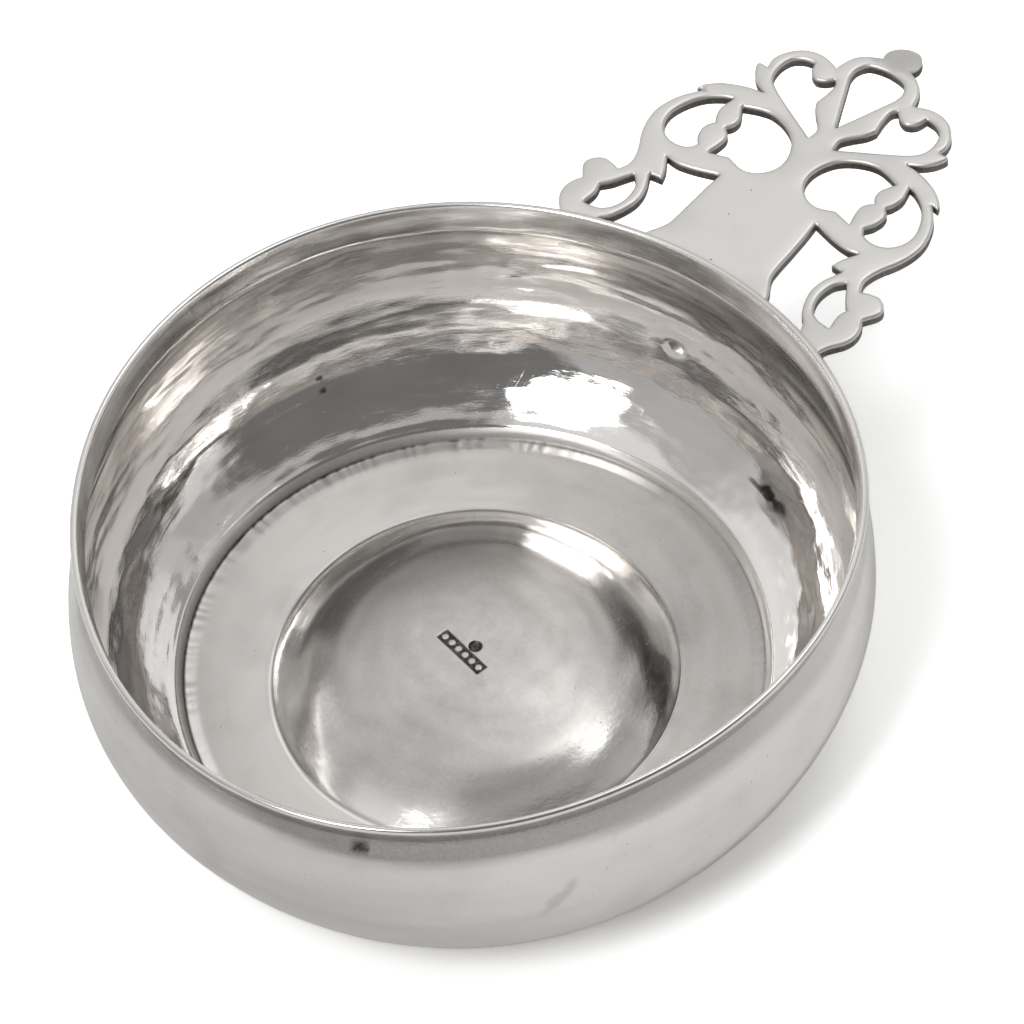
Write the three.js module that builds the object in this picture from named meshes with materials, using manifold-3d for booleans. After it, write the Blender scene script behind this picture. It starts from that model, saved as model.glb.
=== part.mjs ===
// Silver porringer: a shallow round bowl with one flat pierced handle soldered to its collar.
// Millimetres, +Z up. The bowl stands on the flat ring round its domed centre, and the handle
// points along +Y. The origin is on the table, under the middle of the whole piece.
import * as THREE from 'three';
import { mergeVertices } from 'three/addons/utils/BufferGeometryUtils.js';
import Module from 'manifold-3d';

const wasm = await Module();
wasm.setup();

// Bowl, raised from one disc of sheet silver
const sheetThickness = 0.8;
const rimRadius = 66.5;
const bowlHeight = 46.3;
const lipThickness = 1.3;
const collarHeight = 5.3;
const collarFlare = 1.1;
const bellyRadius = 67.8;
const bellyHeight = 25.3;
const wallFootRadius = 51.6;
const stepWidth = 1.4;
const stepHeight = 1.7;
const domeRadius = 34.9;
const domeRise = 7.7;

// Curves. The wall leaves the step at the spring angle, runs nearly straight over the spring share of
// its width and turns up into an upright stretch. Fullness rounds its upper part and the dome.
const springAngle = 22;
const springShare = 0.9;
const uprightShare = 0.23;
const upperFullness = 2.2;
const domeFullness = 2.5;

// Handle, cast flat, pierced and filed. It sits a little to the right of the bowl's middle.
const handleThickness = 2.4;
const handleSideShift = 2.6;
const edgeRounding = 0.25;
const tipDiscRadius = 3.3;
const tipDiscOut = 53.7;
const tipDiscNeckAngle = -37;

// Solder joints between the handle's three roots and the collar
const jointGap = 0.3;
const filletReach = 1.3;
const filletDrop = 1.6;
const rootSplit = 17;

// Fineness of the round forms
const turnSteps = 80;
const domeSteps = 6;
const lowerWallSteps = 8;
const upperWallSteps = 4;
const lipSteps = 4;
const curveSteps = 2;
const tipDiscSteps = 14;

const lipCentreHeight = bowlHeight - lipThickness / 2;
const collarFootHeight = bowlHeight - collarHeight;
const collarFootInside = rimRadius - lipThickness - collarFlare;
const collarFootOutside = collarFootInside + sheetThickness;
const handleTop = bowlHeight;
const handleUnderside = handleTop - handleThickness;

// The handle's right half, drawn from above: [across from its centre line, out from the rim].
// Each list is one smooth run that ends at a corner, and a run of one point is a straight side.
const scrollFoot = [26.2, -9.5];
const outerEdge = [
  [[27.5, -5.5], [29.4, -2.9], [30.1, -0.9], [29.9, 1.1], [28.9, 3.0]],
  [[30.5, 5.4], [30.2, 7.1], [28.5, 8.4], [26.6, 8.3], [25.0, 7.8]],
  [[24.2, 9.7], [24.4, 11.6], [25.2, 13.7], [26.4, 15.9], [27.4, 18.7], [27.7, 21.7], [27.1, 24.4],
    [25.8, 27.1], [23.5, 29.8]],
  [[24.8, 29.5]],
  [[24.3, 30.8], [22.3, 32.5], [20.0, 33.6], [17.0, 34.5], [14.8, 34.7]],
  [[17.0, 35.8], [18.6, 37.3], [19.6, 39.1], [19.4, 39.9]],
  [[17.8, 39.8]],
  [[18.1, 41.5], [17.5, 43.5], [15.6, 45.7], [13.5, 46.7], [11.3, 46.9], [9.5, 46.5], [8.0, 45.9]],
  [[7.5, 47.9], [6.5, 49.7], [4.9, 51.0]],
];

const heartLobe = {
  start: [2.6, 30.7],
  runs: [
    [[2.4, 32.7], [3.6, 34.4], [5.3, 36.2], [6.2, 37.9]],
    [[5.8, 40.3], [5.8, 42.5], [6.5, 43.5]],
    [[7.7, 42.3], [9.3, 41.8], [10.9, 42.8], [11.6, 44.7]],
    [[13.5, 44.4], [15.2, 43.2], [15.9, 40.9], [15.4, 38.2], [13.4, 36.4], [10.0, 34.5]],
    [[2.6, 30.7]],
  ],
};

const bigEye = {
  start: [15.9, 30.2],
  runs: [
    [[13.4, 31.1], [10.8, 31.5], [7.9, 30.8], [5.3, 29.3], [3.7, 27.3], [2.8, 24.7], [3.0, 22.2],
      [4.4, 20.2], [6.4, 19.1], [8.2, 19.0], [11.0, 19.9]],
    [[12.7, 19.4], [14.5, 18.9]],
    [[14.0, 20.9], [13.8, 22.7], [14.3, 23.9], [15.3, 24.8]],
    [[14.5, 26.0], [14.4, 27.5], [15.1, 28.9], [15.9, 30.2]],
  ],
};

const crescent = {
  start: [18.2, 30.8],
  runs: [
    [[19.8, 30.2], [22.2, 28.5], [24.0, 25.9], [25.0, 23.0], [24.7, 20.4], [23.3, 18.5], [21.4, 17.6],
      [19.5, 17.6], [18.0, 18.2], [17.2, 19.4]],
    [[18.2, 20.7], [18.7, 22.6], [18.4, 24.0], [17.6, 24.9]],
    [[18.3, 26.0], [18.8, 27.9], [18.5, 29.7], [18.2, 30.8]],
  ],
};

const scrollEye = {
  start: [21.9, 8.1],
  runs: [
    [[23.0, 6.4], [24.0, 4.8], [25.4, 3.3]],
    [[24.9, 1.4], [25.3, -1.4]],
    [[22.6, -1.0], [20.9, 0.3], [20.0, 2.4], [19.9, 4.5], [20.5, 6.6], [21.9, 8.1]],
  ],
};

// The gap beside the tongue runs on under the rim, where the collar closes it
const rootGap = {
  start: [22.6, -8.0],
  runs: [
    [[21.1, -3.2], [19.7, -1.5], [18.5, 1.0], [17.9, 3.7], [18.3, 6.5], [19.8, 9.7]],
    [[17.5, 9.9]],
    [[18.2, 11.9], [19.7, 14.3]],
    [[17.3, 14.0], [13.9, 14.6], [9.9, 15.8]],
    [[10.2, 12.6], [10.4, 8.5], [10.5, 4.8], [10.9, 2.1], [12.7, -1.2], [13.9, -6.0]],
    [[22.6, -8.0]],
  ],
};

const teardrop = {
  start: [0, 34.9],
  runs: [[[4.65, 45.3]], [[4.75, 47.2], [3.7, 49.0], [1.9, 49.6], [0, 49.8]]],
};

const silver = { color: 0xc9c6c1, roughness: 0.3, metalness: 1 };

// Joins and cuts
function toSolid(geometry) {
  const bare = geometry.index ? geometry.toNonIndexed() : geometry.clone();
  bare.deleteAttribute('normal');
  bare.deleteAttribute('uv');
  const merged = mergeVertices(bare, 1e-4);
  const mesh = new wasm.Mesh({
    numProp: 3,
    vertProperties: new Float32Array(merged.attributes.position.array),
    triVerts: new Uint32Array(merged.index.array),
  });
  return new wasm.Manifold(mesh);
}

function toGeometry(solid) {
  const mesh = solid.getMesh();
  const geometry = new THREE.BufferGeometry();
  geometry.setAttribute('position', new THREE.Float32BufferAttribute(mesh.vertProperties, 3));
  geometry.setIndex(new THREE.Uint32BufferAttribute(mesh.triVerts, 1));
  geometry.computeVertexNormals();
  return geometry;
}

// A turned form: its outline is given as [radius, height] points
function turned(outline) {
  const points = outline.map(([radius, height]) => new THREE.Vector2(radius, height));
  return new THREE.LatheGeometry(points, turnSteps).rotateX(Math.PI / 2);
}

// Bowl
function domeLine() {
  const points = [];
  for (let step = 0; step <= domeSteps; step += 1) {
    const share = step / domeSteps;
    points.push([domeRadius * share, sheetThickness + domeRise * (1 - share ** domeFullness)]);
  }
  return points;
}

function wallLine() {
  const footHeight = sheetThickness + stepHeight;
  const bellyInside = bellyRadius - sheetThickness;
  const springRun = (bellyInside - wallFootRadius) * springShare;
  const springRise = springRun * Math.tan(THREE.MathUtils.degToRad(springAngle));
  const lowerWall = new THREE.CubicBezierCurve(
    new THREE.Vector2(wallFootRadius, footHeight),
    new THREE.Vector2(wallFootRadius + springRun, footHeight + springRise),
    new THREE.Vector2(bellyInside, bellyHeight - (bellyHeight - footHeight) * uprightShare),
    new THREE.Vector2(bellyInside, bellyHeight),
  );
  const points = lowerWall.getPoints(lowerWallSteps).map((point) => point.toArray());
  for (let step = 1; step <= upperWallSteps; step += 1) {
    const share = step / upperWallSteps;
    points.push([
      bellyInside - (bellyInside - collarFootInside) * share ** upperFullness,
      bellyHeight + (collarFootHeight - bellyHeight) * share,
    ]);
  }
  return points;
}

// The same line one sheet thickness further out and down, with mitred corners
function offsetLine(line, distance) {
  return line.map((point, index) => {
    const before = line[Math.max(index - 1, 0)];
    const after = line[Math.min(index + 1, line.length - 1)];
    const arriving = new THREE.Vector2(point[0] - before[0], point[1] - before[1]).normalize();
    const leaving = new THREE.Vector2(after[0] - point[0], after[1] - point[1]).normalize();
    if (index === 0) arriving.copy(leaving.set(1, 0));
    if (index === line.length - 1) leaving.copy(arriving);
    const along = arriving.clone().add(leaving).normalize();
    const stretch = distance / along.dot(arriving);
    return [point[0] + along.y * stretch, point[1] - along.x * stretch];
  });
}

function makeBowl() {
  const ringEdge = [wallFootRadius - stepWidth, sheetThickness];
  const inside = [...domeLine(), ringEdge, ...wallLine()];
  const outside = offsetLine(inside, sheetThickness);
  outside[outside.length - 1] = [collarFootOutside, collarFootHeight];
  const lip = [];
  for (let step = 0; step <= lipSteps; step += 1) {
    const angle = Math.PI * step / lipSteps;
    const radius = rimRadius - lipThickness / 2 * (1 - Math.cos(angle));
    lip.push([radius, lipCentreHeight + lipThickness / 2 * Math.sin(angle)]);
  }
  return turned([...outside, ...lip, ...inside.toReversed()]);
}

// Handle
function mirrored([across, out]) {
  return [-across, out];
}

function follow(path, runs) {
  for (const run of runs) {
    if (run.length > 1) path.splineThru(run.map((point) => new THREE.Vector2(...point)));
    else path.lineTo(...run[0]);
  }
}

// The same runs mirrored and followed backwards, to go on down the left side
function leftRuns(start, runs) {
  return runs.map((run, index) => {
    const before = index > 0 ? runs[index - 1].at(-1) : start;
    return [...run.slice(0, -1).reverse(), before].map(mirrored);
  }).reverse();
}

function addTipDisc(shape) {
  const neck = THREE.MathUtils.degToRad(tipDiscNeckAngle);
  for (let step = 0; step <= tipDiscSteps; step += 1) {
    const angle = neck + (Math.PI - 2 * neck) * step / tipDiscSteps;
    shape.lineTo(tipDiscRadius * Math.cos(angle), tipDiscOut + tipDiscRadius * Math.sin(angle));
  }
}

function handleOutline() {
  const shape = new THREE.Shape();
  shape.moveTo(...scrollFoot);
  follow(shape, outerEdge);
  addTipDisc(shape);
  shape.lineTo(...mirrored(outerEdge.at(-1).at(-1)));
  follow(shape, leftRuns(scrollFoot, outerEdge));
  shape.closePath();
  for (const hole of [heartLobe, bigEye, crescent, scrollEye, rootGap]) {
    const right = new THREE.Path();
    right.moveTo(...hole.start);
    follow(right, hole.runs);
    const left = new THREE.Path();
    left.moveTo(...mirrored(hole.runs.at(-1).at(-1)));
    follow(left, leftRuns(hole.start, hole.runs));
    shape.holes.push(right, left);
  }
  const tear = new THREE.Path();
  tear.moveTo(...teardrop.start);
  follow(tear, teardrop.runs);
  follow(tear, leftRuns(teardrop.start, teardrop.runs));
  shape.holes.push(tear);
  return shape;
}

function plate(shape, low, high, rounding) {
  const geometry = new THREE.ExtrudeGeometry(shape, {
    depth: high - low - 2 * rounding,
    bevelEnabled: rounding > 0,
    bevelThickness: rounding,
    bevelSize: rounding,
    bevelOffset: -rounding,
    bevelSegments: 1,
    curveSegments: curveSteps,
  });
  return geometry.translate(handleSideShift, rimRadius, low + rounding);
}

// Everything inside the collar's outer face, with the joint's gap added
function collarCore() {
  const aboveRim = handleTop + handleThickness;
  return turned([
    [0, collarFootHeight],
    [collarFootOutside + jointGap, collarFootHeight],
    [rimRadius + jointGap, lipCentreHeight],
    [rimRadius + jointGap, aboveRim],
    [0, aboveRim],
  ]);
}

function makeHandle(shape) {
  const blank = toSolid(plate(shape, handleUnderside, handleTop, edgeRounding));
  return toGeometry(blank.subtract(toSolid(collarCore())));
}

// Solder fillets: a ring of three-sided section under the handle, kept only below its roots
function collarFaceRadius(height) {
  const share = (height - collarFootHeight) / (lipCentreHeight - collarFootHeight);
  return collarFootOutside + (rimRadius - collarFootOutside) * share + jointGap;
}

function filletRing() {
  const lowest = handleUnderside - filletDrop;
  const corner = [collarFaceRadius(handleUnderside), handleUnderside];
  return turned([
    corner,
    [collarFaceRadius(lowest), lowest],
    [corner[0] + filletReach, handleUnderside],
    corner,
  ]);
}

function makeSeam(shape, fromX, toX) {
  const below = plate(shape, handleUnderside - 2 * filletDrop, handleTop, 0);
  const depth = rimRadius;
  const height = handleThickness + 4 * filletDrop;
  const block = new THREE.BoxGeometry(toX - fromX, depth, height);
  block.translate((fromX + toX) / 2, rimRadius, handleUnderside);
  return toGeometry(toSolid(filletRing()).intersect(toSolid(below)).intersect(toSolid(block)));
}

// Assembly
const porringer = new THREE.Group();

function addPiece(name, geometry) {
  const mesh = new THREE.Mesh(geometry, new THREE.MeshStandardMaterial(silver));
  mesh.name = name;
  porringer.add(mesh);
}

const outline = handleOutline();
const leftEnd = handleSideShift - bellyRadius;
const rightEnd = handleSideShift + bellyRadius;
addPiece('bowl', makeBowl());
addPiece('handle', makeHandle(outline));
addPiece('solder_seam_tongue', makeSeam(outline, handleSideShift - rootSplit, handleSideShift + rootSplit));
addPiece('solder_seam_left', makeSeam(outline, leftEnd, handleSideShift - rootSplit));
addPiece('solder_seam_right', makeSeam(outline, handleSideShift + rootSplit, rightEnd));

const handleTip = rimRadius + tipDiscOut + tipDiscRadius;
porringer.position.y = (bellyRadius - handleTip) / 2;

export default porringer;
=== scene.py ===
"""Silver porringer: a hammered bowl with one pierced handle, in a plain pale studio.

Lengths are metres. The bowl stands on the floor at z 0 and its handle points along +Y.
"""

import math

import bmesh
import bpy
import numpy as np
from bpy.props import FloatProperty, FloatVectorProperty, IntProperty, PointerProperty
from bpy.types import Node, NodeSocket, Operator, Panel, PropertyGroup
from mathutils import Matrix, Vector
from mathutils.geometry import delaunay_2d_cdt


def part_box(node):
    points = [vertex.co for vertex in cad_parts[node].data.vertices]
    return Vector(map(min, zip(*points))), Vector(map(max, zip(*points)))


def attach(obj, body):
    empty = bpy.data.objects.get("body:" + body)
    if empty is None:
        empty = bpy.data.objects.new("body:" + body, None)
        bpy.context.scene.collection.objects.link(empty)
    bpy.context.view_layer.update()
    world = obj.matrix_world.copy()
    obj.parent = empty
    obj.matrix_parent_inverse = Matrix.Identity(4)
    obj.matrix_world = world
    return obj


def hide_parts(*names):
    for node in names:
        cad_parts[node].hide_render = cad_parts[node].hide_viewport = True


bl_info = {
    "name": "Silver porringer",
    "version": (1, 0, 0),
    "blender": (4, 5, 0),
    "location": "3D View > Sidebar > Porringer",
    "description": "Builds a hammered silver bowl, its cast handle, the solder between them and a studio",
    "category": "Object",
}

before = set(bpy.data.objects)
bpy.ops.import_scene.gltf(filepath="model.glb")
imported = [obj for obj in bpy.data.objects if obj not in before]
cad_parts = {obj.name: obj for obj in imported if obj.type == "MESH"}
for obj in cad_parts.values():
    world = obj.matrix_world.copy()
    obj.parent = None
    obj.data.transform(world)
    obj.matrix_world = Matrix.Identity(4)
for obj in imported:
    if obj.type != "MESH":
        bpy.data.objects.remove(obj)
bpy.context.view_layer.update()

MM = 0.001
BOWL_LOW, BOWL_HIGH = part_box("bowl")
BOWL_CENTRE = np.array([(BOWL_LOW.x + BOWL_HIGH.x) / 2, (BOWL_LOW.y + BOWL_HIGH.y) / 2, 0])


def measure(name, description, default, unit="LENGTH"):
    return FloatProperty(name=name, description=description, default=default, unit=unit)


def shade(name, description, code):
    """A colour that a user may change, from its sRGB hex value."""
    return FloatVectorProperty(name=name, description=description, subtype="COLOR_GAMMA", min=0, max=1,
                               default=[int(code[k:k + 2], 16) / 255 for k in (1, 3, 5)])


class BowlSizes(PropertyGroup):
    """The bowl, raised from one disc of sheet silver."""

    sheet: measure("Sheet", "Thickness of the silver", 0.8 * MM)
    rim_radius: measure("Rim radius", "Outside of the lip", 66.5 * MM)
    height: measure("Height", "From the table to the top of the lip", BOWL_HIGH.z)
    lip: measure("Lip", "Thickness of the rounded lip", 1.3 * MM)
    collar_height: measure("Collar height", "Upright band under the lip", 5.3 * MM)
    collar_flare: measure("Collar flare", "How far the collar leans out", 1.1 * MM)
    belly_radius: measure("Belly radius", "Widest place of the wall", 67.8 * MM)
    belly_height: measure("Belly height", "Height of the widest place", 25.3 * MM)
    foot_radius: measure("Wall foot radius", "Where the wall springs from the step", 51.6 * MM)
    step_width: measure("Step width", "Slope between ring and wall", 1.4 * MM)
    step_height: measure("Step height", "Rise of the slope", 1.7 * MM)
    dome_radius: measure("Dome radius", "Crease round the dome", 34.9 * MM)
    dome_rise: measure("Dome rise", "Height of the dome over the ring", 7.7 * MM)
    punch_radius: measure("Centre punch", "Radius of the compass pit", 1.3 * MM)
    punch_depth: measure("Punch depth", "Depth of the compass pit", 0.4 * MM)
    spring_angle: measure("Spring angle", "Slope at which the wall leaves the step", math.radians(22),
                          "ROTATION")
    spring_share: measure("Spring share", "How far out the wall stays nearly straight", 0.9, "NONE")
    upright_share: measure("Upright share", "How far down the belly stays upright", 0.23, "NONE")
    upper_fullness: measure("Upper fullness", "Roundness of the wall above its belly", 2.2, "NONE")
    dome_fullness: measure("Dome fullness", "Roundness of the dome", 2.5, "NONE")
    hammering: measure("Hammering", "Depth of all hammer marks, as a factor", 1, "NONE")
    segments: IntProperty(name="Segments", description="Points round the bowl", default=640, min=48)

    @property
    def ring_edge(self):
        """Outer radius of the flat ring."""
        return self.foot_radius - self.step_width

    @property
    def collar_foot(self):
        """Height at which the collar begins."""
        return self.height - self.collar_height


class HandleSizes(PropertyGroup):
    """The handle, cast flat, pierced and filed."""

    thickness: measure("Thickness", "Thickness of the casting", 2.4 * MM)
    side_shift: measure("Side shift", "How far it sits right of the bowl's middle", 2.6 * MM)
    edge_width: measure("Edge width", "How far in the filing rounds the upper edges", 0.75 * MM)
    edge_drop: measure("Edge drop", "How far the rounded edges come down", 0.45 * MM)
    under_edge: measure("Under edge", "Rounding of the lower edges", 0.3 * MM)
    lean: measure("Lean", "Drift to the right for each unit outwards", 0.026, "NONE")
    rise: measure("Rise", "Climb for each unit outwards", 0.016, "NONE")
    twist: measure("Twist", "How much further out the right scroll reaches", 0.6 * MM)
    disc_radius: measure("Tip disc radius", "Plain disc at the tip", 3.3 * MM)
    disc_out: measure("Tip disc place", "Disc centre out from the rim", 53.7 * MM)
    disc_neck: measure("Tip disc neck", "Angle at which the disc leaves its neck", math.radians(-37),
                       "ROTATION")
    disc_dip: measure("Tip disc dip", "How far the disc bends down for each unit outwards", 0.28, "NONE")
    fillet: measure("Solder fillet", "Leg of the solder between handle and collar", 1.3 * MM)


class Finish(PropertyGroup):
    """Colours of the metal and of the studio."""

    silver: shade("Silver", "Silver, rubbed bright", "#f8f5f2")
    toned: shade("Toned silver", "Silver left to grey on the outside", "#dbd9d5")
    # This brown-grey is both the tarnish and the painted shade laid on the bowl's corners, marks and one
    # side, and on the handle's walls
    tarnish_and_shade: shade("Tarnish", "Brown-grey film in the corners", "#403934")
    solder: shade("Solder", "Silver solder, a little yellower", "#bfbab0")
    floor: shade("Floor", "White card", "#f2f2f2")


# The handle's right half, drawn from above: [across from its centre line, out from the rim] in
# millimetres. Each list is one smooth run that ends at a corner, and one point is a straight side.
# A shape begins with its first corner.
OUTER_EDGE = [
    [(26.2, -9.5)],
    [(27.5, -5.5), (29.4, -2.9), (30.1, -0.9), (29.9, 1.1), (28.9, 3.0)],
    [(30.5, 5.4), (30.2, 7.1), (28.5, 8.4), (26.6, 8.3), (25.0, 7.8)],
    [(24.2, 9.7), (24.4, 11.6), (25.2, 13.7), (26.4, 15.9), (27.4, 18.7), (27.7, 21.7), (27.1, 24.4),
     (25.8, 27.1), (23.5, 29.8)],
    [(24.8, 29.5)],
    [(24.3, 30.8), (22.3, 32.5), (20.0, 33.6), (17.0, 34.5), (14.8, 34.7)],
    [(17.0, 35.8), (18.6, 37.3), (19.6, 39.1), (19.4, 39.9)],
    [(17.8, 39.8)],
    [(18.1, 41.5), (17.5, 43.5), (15.6, 45.7), (13.5, 46.7), (11.3, 46.9), (9.5, 46.5), (8.0, 45.9)],
    [(7.5, 47.9), (6.5, 49.7), (4.9, 51.0)],
]
HEART_LOBE = [
    [(2.6, 30.7)],
    [(2.4, 32.7), (3.6, 34.4), (5.3, 36.2), (6.2, 37.9)],
    [(5.8, 40.3), (5.8, 42.5), (6.5, 43.5)],
    [(7.7, 42.3), (9.3, 41.8), (10.9, 42.8), (11.6, 44.7)],
    [(13.5, 44.4), (15.2, 43.2), (15.9, 40.9), (15.4, 38.2), (13.4, 36.4), (10.0, 34.5)],
    [(2.6, 30.7)],
]
BIG_EYE = [
    [(15.9, 30.2)],
    [(13.4, 31.1), (10.8, 31.5), (7.9, 30.8), (5.3, 29.3), (3.7, 27.3), (2.8, 24.7), (3.0, 22.2),
     (4.4, 20.2), (6.4, 19.1), (8.2, 19.0), (11.0, 19.9)],
    [(12.7, 19.4), (14.5, 18.9)],
    [(14.0, 20.9), (13.8, 22.7), (14.3, 23.9), (15.3, 24.8)],
    [(14.5, 26.0), (14.4, 27.5), (15.1, 28.9), (15.9, 30.2)],
]
CRESCENT = [
    [(18.2, 30.8)],
    [(19.8, 30.2), (22.2, 28.5), (24.0, 25.9), (25.0, 23.0), (24.7, 20.4), (23.3, 18.5), (21.4, 17.6),
     (19.5, 17.6), (18.0, 18.2), (17.2, 19.4)],
    [(18.2, 20.7), (18.7, 22.6), (18.4, 24.0), (17.6, 24.9)],
    [(18.3, 26.0), (18.8, 27.9), (18.5, 29.7), (18.2, 30.8)],
]
SCROLL_EYE = [
    [(21.9, 8.1)],
    [(23.0, 6.4), (24.0, 4.8), (25.4, 3.3)],
    [(24.9, 1.4), (25.3, -1.4)],
    [(22.6, -1.0), (20.9, 0.3), (20.0, 2.4), (19.9, 4.5), (20.5, 6.6), (21.9, 8.1)],
]
ROOT_GAP = [
    [(22.6, -8.0)],
    [(21.1, -3.2), (19.7, -1.5), (18.5, 1.0), (17.9, 3.7), (18.3, 6.5), (19.8, 9.7)],
    [(17.5, 9.9)],
    [(18.2, 11.9), (19.7, 14.3)],
    [(17.3, 14.0), (13.9, 14.6), (9.9, 15.8)],
    [(10.2, 12.6), (10.4, 8.5), (10.5, 4.8), (10.9, 2.1), (12.7, -1.2), (13.9, -6.0)],
    [(22.6, -8.0)],
]
TEARDROP = [[(0, 34.9)], [(4.65, 45.3)], [(4.75, 47.2), (3.7, 49.0), (1.9, 49.6), (0, 49.8)]]

# How far each ring of the bowl is out of round: waves round it, size in millimetres, and the
# direction of one crest in degrees from +X
RIM_WAVES = [(2, 0.60, 82.4), (3, 1.11, 40.5), (4, 0.13, 29.2)]
BELLY_WAVES = [(2, 0.46, 86.2), (3, 0.45, 31.4)]
STEP_WAVES = [(2, 0.95, 129.7), (3, 0.55, 67.1)]
CREASE_WAVES = [(2, 0.23, 108.7), (3, 0.16, 31.3)]

# How far the step and the ring lie off the lip's middle
STEP_SHIFT = np.array([-0.45, -0.44]) * MM

# The struck marks in the bowl's middle need closely set points out to this radius
STRUCK_RADIUS = 7.4 * MM

# Rubbing and planishing went round the bowl. Its marks are drawn on a cylinder of this radius, far
# thinner than the bowl, which stretches them along the way round
STREAK_RADIUS = 11 * MM

# Marks that the hammers left: patches round the bowl, patches from its middle to the lip, depth in
# millimetres, and the share of it that is left on the ring and the dome
HAMMER_MARKS = [(16, 26, 0.045, 0.15), (34, 16, 0.030, 0.0), (110, 36, 0.028, 0.1), (60, 90, 0.027, 0.05),
                (260, 110, 0.011, 0.1)]

# Dark spots that polishing never reached: direction in degrees, height, half length and half height in
# millimetres, how far they lean, how dark they are and how ragged
INSIDE_STAINS = [(68.5, 7.2, 3.0, 0.5, 0, 1.0, 0.4), (64.6, 7.4, 1.9, 0.6, 0, 0.9, 0.35),
                 (72.0, 6.9, 1.4, 0.3, 0, 0.8, 0.35), (151.6, 10.9, 0.45, 0.4, 0, 1.0, 0.2),
                 (151.5, 9.0, 0.4, 0.35, 0, 0.9, 0.2),
                 (97.8, 17.2, 2.4, 0.4, 0.5, 0.45, 0.5), (92.0, 16.8, 1.8, 0.4, -0.5, 0.45, 0.5)]
OUTSIDE_STAINS = [(-68.1, 39.4, 1.7, 1.4, 0, 1.0, 0.1), (-31.3, 40.6, 0.5, 4.6, 0, 0.4, 0.1),
                  (-40.3, 25.5, 1.4, 3.6, 0.7, 0.22, 0.15), (-75.0, 20.5, 3.0, 0.4, 0, 0.15, 0.3),
                  (-105.0, 24.0, 2.0, 0.5, -0.5, 0.15, 0.3)]

# Rows of points beside every edge of the handle, as shares of the width that its filing rounds
EDGE_ROWS = (0.04, 0.12, 0.26, 0.46, 0.7, 1.0)

# Lit and dark fields on the studio's walls, each laid over the ones before: direction in degrees from +X
# and above the table, half width and half height in degrees, brightness, the share of the field that its
# soft border takes, and its form, from 2 for an oval towards a square
SKY_LEVEL = 0.45
SKY_FIELDS = [(135, 48, 60, 26, 0.82, 0.6, 2), (-32, 42, 44, 31, 0.165, 0.25, 3),
              (-125, 68, 16, 14, 0.75, 0.6, 2), (88, 66, 15, 9, 3.0, 0.6, 2),
              (-92, 54, 8.5, 15, 7.5, 0.2, 3), (72, 42, 10, 5, 0.32, 0.5, 2), (-60, 18, 6, 6, 0.8, 0.5, 2),
              (30, 22, 14, 8, 0.66, 0.5, 2), (-150, 20, 8, 6, 0.15, 0.5, 2)]


# Shapes shared by the pieces
def smooth_run(start, run, steps=6):
    """A curve through the points, as a draughtsman's spline."""
    points = [np.array(point, float) for point in (start, *run)]
    last = len(points) - 1
    drawn = []
    for index in range(last):
        before, after = points[max(index - 1, 0)], points[min(index + 2, last)]
        here, there = points[index], points[index + 1]
        leaving, arriving = (there - before) / 2, (after - here) / 2
        for step in range(1, steps + 1):
            t = step / steps
            drawn.append(here * (2 * t**3 - 3 * t**2 + 1) + leaving * (t**3 - 2 * t**2 + t)
                         + there * (3 * t**2 - 2 * t**3) + arriving * (t**3 - t**2))
    return drawn


def follow(runs, spacing=0.5):
    """The outline through the runs, in millimetres. Straight sides have a point at each spacing."""
    points = [np.array(runs[0][0], float)]
    for run in runs[1:]:
        if len(run) > 1:
            points += smooth_run(points[-1], run)
        else:
            span = np.array(run[0], float) - points[-1]
            count = max(2, int(np.linalg.norm(span) / spacing))
            points += [points[-1] + span * step / count for step in range(1, count + 1)]
    return np.array(points)


def mirrored(points):
    return points * (-1, 1)


def new_mesh(name, vertices, faces, smooth=True):
    mesh = bpy.data.meshes.new(name)
    mesh.from_pydata([tuple(v) for v in vertices], [], faces)
    mesh.validate()
    if smooth:
        mesh.shade_smooth()
    mesh.update()
    piece = bpy.data.objects.new(name, mesh)
    bpy.context.scene.collection.objects.link(piece)
    return piece


def ring_faces(rows, count, start=0):
    """Four-cornered faces between rows of count points, each row closed round itself."""
    faces = []
    for row in range(rows - 1):
        for k in range(count):
            a, b = start + row * count + k, start + row * count + (k + 1) % count
            faces.append((a, b, b + count, a + count))
    return faces


def merge_points(piece, distance=1e-3 * MM):
    work = bmesh.new()
    work.from_mesh(piece.data)
    bmesh.ops.remove_doubles(work, verts=work.verts, dist=distance)
    bmesh.ops.recalc_face_normals(work, faces=work.faces)
    work.to_mesh(piece.data)
    work.free()


def add_attribute(piece, name, values, kind="FLOAT", field="value"):
    attribute = piece.data.attributes.new(name, kind, "POINT")
    attribute.data.foreach_set(field, np.asarray(values, np.float32).ravel())


def smoothstep(low, high, value):
    share = np.clip((value - low) / (high - low), 0, 1)
    return share * share * (3 - 2 * share)


def ridge(place, middle, width, height=1):
    return height * np.exp(-((place - middle) / width) ** 2)


def facing(angle, degrees):
    """1 in that direction round the bowl, 0 a quarter turn from it and -1 opposite."""
    return np.cos(angle - math.radians(degrees))


def spline_weights(share):
    """Weights of four neighbours that blend into one smooth surface."""
    return [(1 - share) ** 3 / 6, (3 * share**3 - 6 * share**2 + 4) / 6,
            (-3 * share**3 + 3 * share**2 + 3 * share + 1) / 6, share**3 / 6]


def unevenness(random, around, along, turn, run):
    """Smooth seeded waviness over the turn (0 to 1, closing on itself) and the run (0 to 1)."""
    grid = random.standard_normal((along + 4, around))
    u, v = turn * around, np.clip(run, 0, 1) * along
    column, row = np.floor(u).astype(int), np.floor(v).astype(int)
    total = np.zeros(np.broadcast(turn, run).shape)
    for i, across in enumerate(spline_weights(u - column)):
        for j, down in enumerate(spline_weights(v - row)):
            total += across * down * grid[row + j, (column + i) % around]
    return total * 2


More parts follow.
